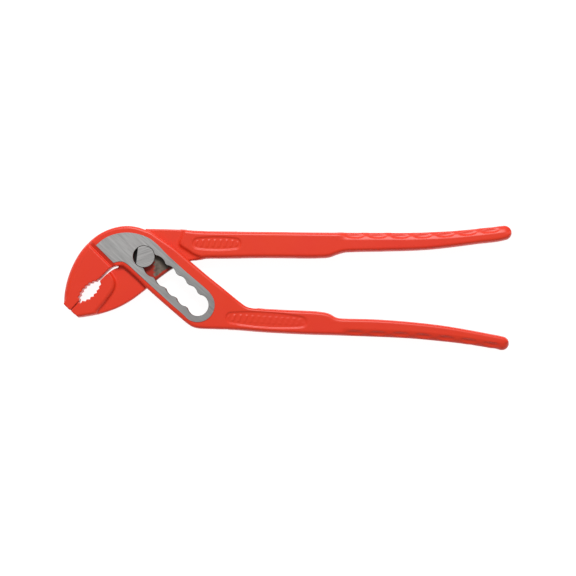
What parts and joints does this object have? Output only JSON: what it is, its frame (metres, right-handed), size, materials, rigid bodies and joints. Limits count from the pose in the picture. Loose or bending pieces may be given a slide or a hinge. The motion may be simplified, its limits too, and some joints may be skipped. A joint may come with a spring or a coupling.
{
  "type": "tongue and groove pliers",
  "caption": "Slip-joint water pump pliers with slotted box joint, toothed jaws and red painted forged handles, closed in the narrowest seat.",
  "frame": {"origin": "centre of the joint pin at the joint's back face, with the pin in the first seat of the slot and the jaws closed", "axes": "+X towards the handle ends, +Y towards the upper handle, which belongs to the inner arm, and +Z out of the front face along the pin"},
  "size_m": [0.2498, 0.0693, 0.0115],
  "materials": {
    "red_paint": "smooth glossy paint over a forged surface",
    "ground_steel": "flat ground with a fine straight grain"
  },
  "bodies": {
    "slotted_arm": {"slotted_arm": "red_paint"},
    "pin_carriage": {"pin_core": "ground_steel"},
    "inner_arm": {"inner_arm": "red_paint", "pin_end_front": "ground_steel", "pin_end_back": "ground_steel"}
  },
  "joints": [
    {"name": "slip_adjust", "type": "slide", "parent": "slotted_arm", "child": "pin_carriage", "axis": [0.7431, -0.6691, 0], "range_m": [0, 0.04025]},
    {"name": "jaw_pivot", "type": "hinge", "parent": "pin_carriage", "child": "inner_arm", "pos_m": [0, 0, 0.00575], "axis": [0, 0, 1], "range_deg": [0, 55]}
  ]
}
